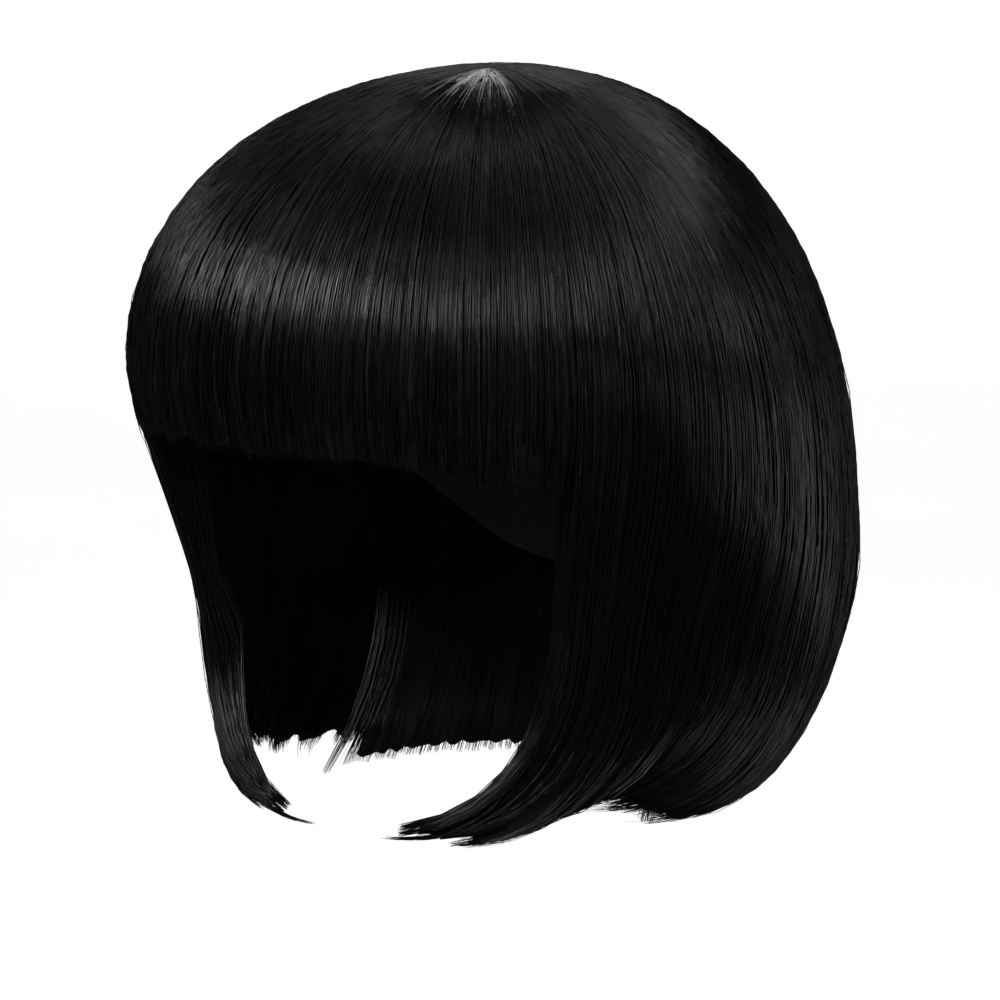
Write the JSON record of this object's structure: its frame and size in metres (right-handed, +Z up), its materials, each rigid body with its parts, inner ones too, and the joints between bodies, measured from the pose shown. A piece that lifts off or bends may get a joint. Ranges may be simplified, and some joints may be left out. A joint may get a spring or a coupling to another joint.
{
  "type": "bob wig",
  "caption": "Black chin-length bob wig with a full blunt fringe, hair radiating from a crown whorl over a close cap, ends swept forward.",
  "frame": {"origin": "inside top of the cap, under the crown whorl, where the top of a head would sit", "axes": "-Y towards the wearer's face, +X towards the wearer's left, +Z up through the crown"},
  "size_m": [0.2174, 0.2438, 0.2309],
  "materials": {
    "cap": "black fine stretch net",
    "whorl": "greyish parted roots of black synthetic hair",
    "fringe_hair": "glossy black synthetic hair, straight",
    "side_hair": "glossy black synthetic hair, straight",
    "back_hair": "glossy black synthetic hair, straight",
    "nape_hair": "black synthetic hair, duller under-layer"
  },
  "bodies": {
    "root": {"wig_cap": "cap", "crown_whorl": "whorl", "fringe": "fringe_hair", "side_hair_left": "side_hair", "side_hair_right": "side_hair", "back_hair": "back_hair", "nape_hair": "nape_hair"}
  },
  "joints": []
}
